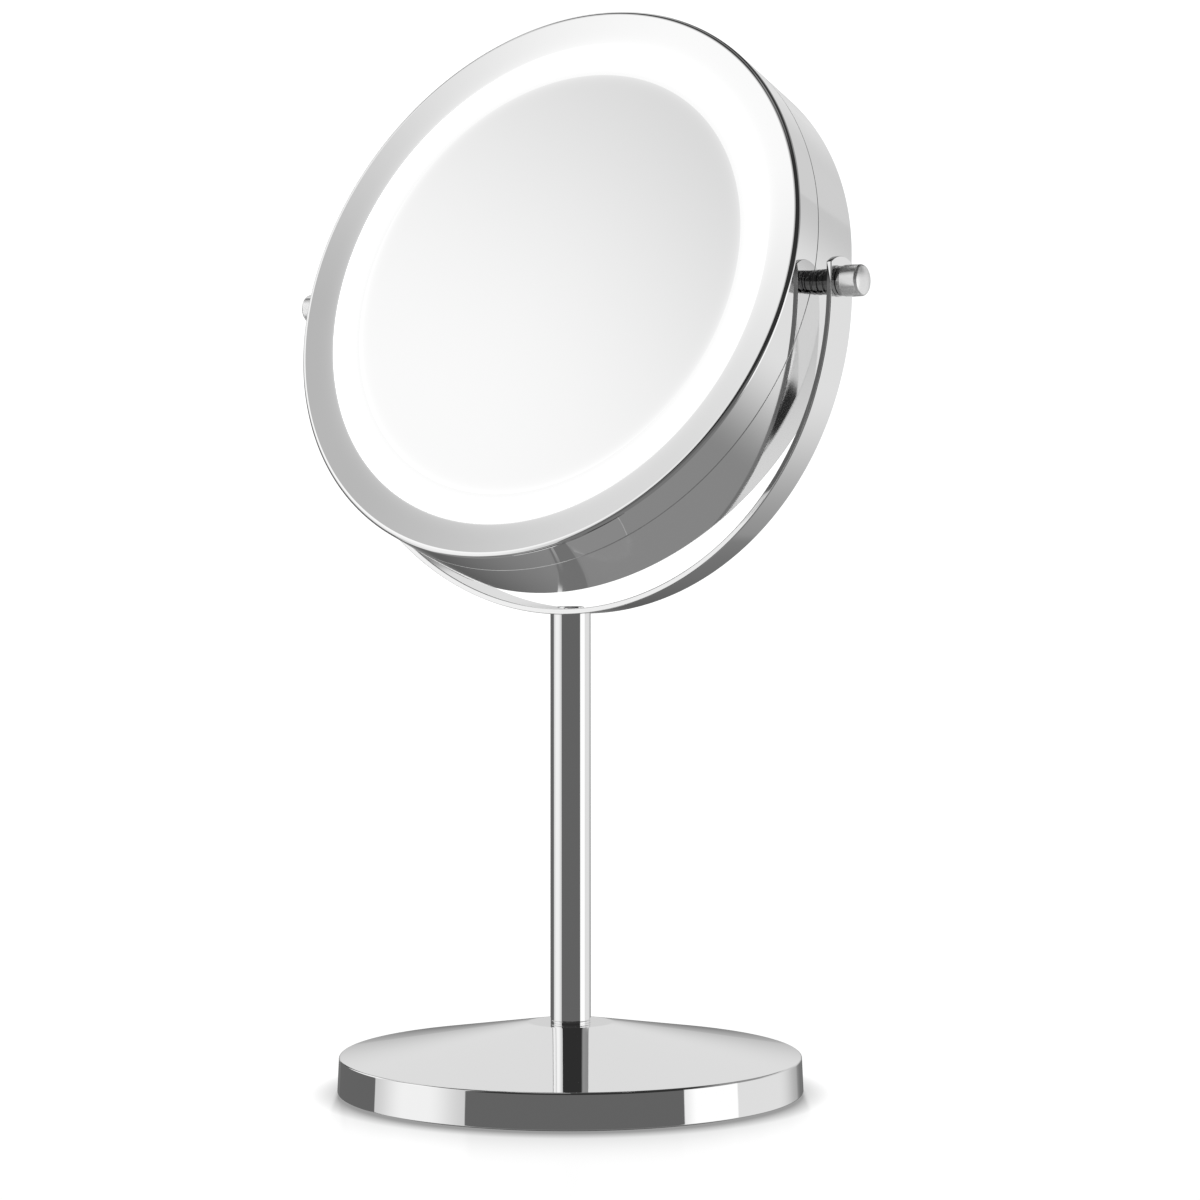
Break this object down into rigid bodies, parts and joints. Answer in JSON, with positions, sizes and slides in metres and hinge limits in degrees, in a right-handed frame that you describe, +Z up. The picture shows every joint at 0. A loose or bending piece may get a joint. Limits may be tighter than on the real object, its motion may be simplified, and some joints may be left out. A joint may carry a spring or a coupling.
{
  "type": "lighted vanity mirror",
  "caption": "Round two-sided vanity mirror with a lit ring, pivoting in a U-shaped yoke on a chrome stem and a weighted round base.",
  "frame": {"origin": "centre of the base's underside, on the table", "axes": "+Z up along the stem, +X through the switch knob, the lit face looks towards -Y and leans back 20 degrees at rest"},
  "size_m": [0.2064, 0.1418, 0.3295],
  "materials": {
    "chrome_shell": "mirror-polished chrome plate on pressed steel",
    "chrome_stem": "mirror-polished chrome plate on steel tube",
    "chrome_yoke": "mirror-polished chrome plate on steel strip",
    "chrome_housing": "chrome-plated plastic moulding",
    "chrome_bezel": "chrome-plated plastic moulding",
    "chrome_knob": "polished chrome",
    "chrome_trim": "polished chrome",
    "mirror": "silvered glass",
    "white_plastic": "white moulded plastic",
    "foam": "closed-cell foam",
    "foot_pad": "matt foam rubber sheet",
    "cast_weight": "as cast",
    "steel": "zinc-plated",
    "brass": "turned",
    "nylon": "natural nylon",
    "black_plastic": "moulded",
    "circuit_board": "white solder mask",
    "battery_case": "plain wrapped cell",
    "red_wire": "PVC insulation",
    "black_wire": "PVC insulation",
    "lit_diffuser": "opal, lit from behind",
    "lamp": "lamp lens"
  },
  "bodies": {
    "stand": {"base_pad": "foot_pad", "base_shell": "chrome_shell", "base_weight": "cast_weight", "base_washer": "steel", "base_bolt": "steel", "base_spacer": "steel", "stem_foot_ring": "chrome_trim", "stem_tube": "chrome_stem", "stem_lower_insert": "brass", "stem_upper_insert": "brass", "yoke": "chrome_yoke", "yoke_screw": "chrome_trim", "pivot_bush_left": "nylon", "pivot_bush_right": "nylon"},
    "head": {"housing": "chrome_housing", "front_bezel": "chrome_bezel", "inner_frame": "black_plastic", "frame_screws": "steel", "tray_screws": "steel", "centre_mirror": "mirror", "mirror_pad": "foam", "light_ring": "lit_diffuser", "light_tray": "white_plastic", "led_board": "circuit_board", "leds": "lamp", "battery_tray": "black_plastic", "batteries": "battery_case", "battery_contacts": "steel", "switch_body": "black_plastic", "pivot_shaft_left": "chrome_trim", "pivot_shaft_right": "chrome_trim", "shaft_nuts": "steel", "friction_washers": "steel", "pivot_collars": "chrome_trim", "wire_battery_switch": "red_wire", "wire_switch_lamps": "red_wire", "wire_battery_lamps": "black_wire"},
    "switch_knob": {"right_knob": "chrome_knob", "switch_spindle": "steel"},
    "tension_knob": {"left_knob": "chrome_knob"},
    "rear_cover": {"rear_ring": "chrome_bezel", "magnifying_mirror": "mirror", "magnifier_gasket": "foam"}
  },
  "joints": [
    {"name": "head_tilt", "type": "hinge", "parent": "stand", "child": "head", "pos_m": [0, 0, 0.242], "axis": [1, 0, 0], "continuous": true},
    {"name": "switch_turn", "type": "hinge", "parent": "head", "child": "switch_knob", "pos_m": [0.1, 0, 0.242], "axis": [1, 0, 0], "range_deg": [-60, 0]},
    {"name": "tension_turn", "type": "hinge", "parent": "head", "child": "tension_knob", "pos_m": [-0.1, 0, 0.242], "axis": [1, 0, 0], "range_deg": [-90, 180]},
    {"name": "rear_cover_twist", "type": "hinge", "parent": "head", "child": "rear_cover", "pos_m": [0, -0.00053, 0.24054], "axis": [0, -0.9397, 0.342], "range_deg": [0, 29]}
  ]
}
